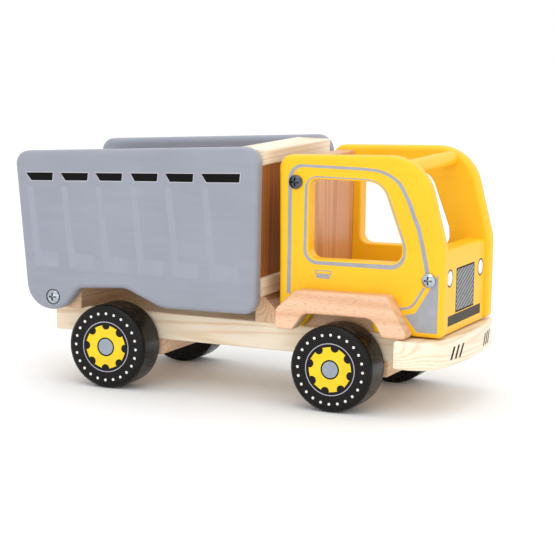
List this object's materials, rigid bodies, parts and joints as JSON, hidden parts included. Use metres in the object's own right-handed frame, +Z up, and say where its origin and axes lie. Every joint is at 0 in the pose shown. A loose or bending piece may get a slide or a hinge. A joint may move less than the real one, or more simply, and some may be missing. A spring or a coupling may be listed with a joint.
{
  "type": "toy dump truck",
  "caption": "Wooden toy dump truck with an open painted cab, a tipping bed hinged at the rear, a swinging tailgate and rolling wheels.",
  "frame": {"origin": "on the ground under the middle of the truck, half way along its length and its width", "axes": "+X to the front of the truck, +Y to its left side, +Z up"},
  "size_m": [0.2452, 0.11, 0.133],
  "materials": {
    "pine": "bare, fine sanded",
    "beech": "bare, fine sanded",
    "plywood": "bare, fine sanded",
    "yellow_paint": "satin yellow paint on wood",
    "grey_paint": "satin grey paint on wood",
    "black_paint": "satin black paint on wood",
    "dowel_wood": "bare dowel",
    "screw_steel": "bright plated"
  },
  "bodies": {
    "truck": {"chassis_board": "pine", "bumper": "pine", "bumper_dowels": "dowel_wood", "front_axle_block": "beech", "rear_axle_block": "beech", "axle_block_screws": "screw_steel", "pivot_block": "beech", "pivot_block_screws": "screw_steel", "bed_rest_block": "beech", "bed_rest_screws": "screw_steel", "cab_base_block": "beech", "cab_base_screws": "screw_steel", "cab_right_panel": "yellow_paint", "cab_left_panel": "yellow_paint", "cab_rear_wall": "beech", "cab_front_block": "yellow_paint", "cab_cross_bar": "yellow_paint", "cab_dowels": "dowel_wood", "right_fender": "beech", "left_fender": "beech", "fender_dowels": "dowel_wood", "cab_rear_screws": "screw_steel", "cab_front_screws": "screw_steel", "bed_pivot_screws": "screw_steel"},
    "bed": {"bed_right_panel": "grey_paint", "bed_left_panel": "grey_paint", "bed_floor": "pine", "bed_front_wall": "plywood", "bed_top_rail": "pine", "bed_floor_dowels": "dowel_wood", "bed_rail_dowels": "dowel_wood", "tailgate_pins": "dowel_wood"},
    "tailgate": {"tailgate": "plywood"},
    "front_wheels": {"front_right_wheel": "black_paint", "front_left_wheel": "black_paint", "front_axle": "dowel_wood"},
    "rear_wheels": {"rear_right_wheel": "black_paint", "rear_left_wheel": "black_paint", "rear_axle": "dowel_wood"}
  },
  "joints": [
    {"name": "bed_tip", "type": "hinge", "parent": "truck", "child": "bed", "pos_m": [-0.0986, 0, 0.0467], "axis": [0, -1, 0], "range_deg": [0, 45]},
    {"name": "tailgate_swing", "type": "hinge", "parent": "bed", "child": "tailgate", "pos_m": [-0.112, 0, 0.1121], "axis": [0, 1, 0], "range_deg": [0, 80]},
    {"name": "front_axle_spin", "type": "hinge", "parent": "truck", "child": "front_wheels", "pos_m": [0.0635, 0, 0.0225], "axis": [0, 1, 0], "continuous": true},
    {"name": "rear_axle_spin", "type": "hinge", "parent": "truck", "child": "rear_wheels", "pos_m": [-0.0655, 0, 0.0225], "axis": [0, 1, 0], "continuous": true}
  ]
}
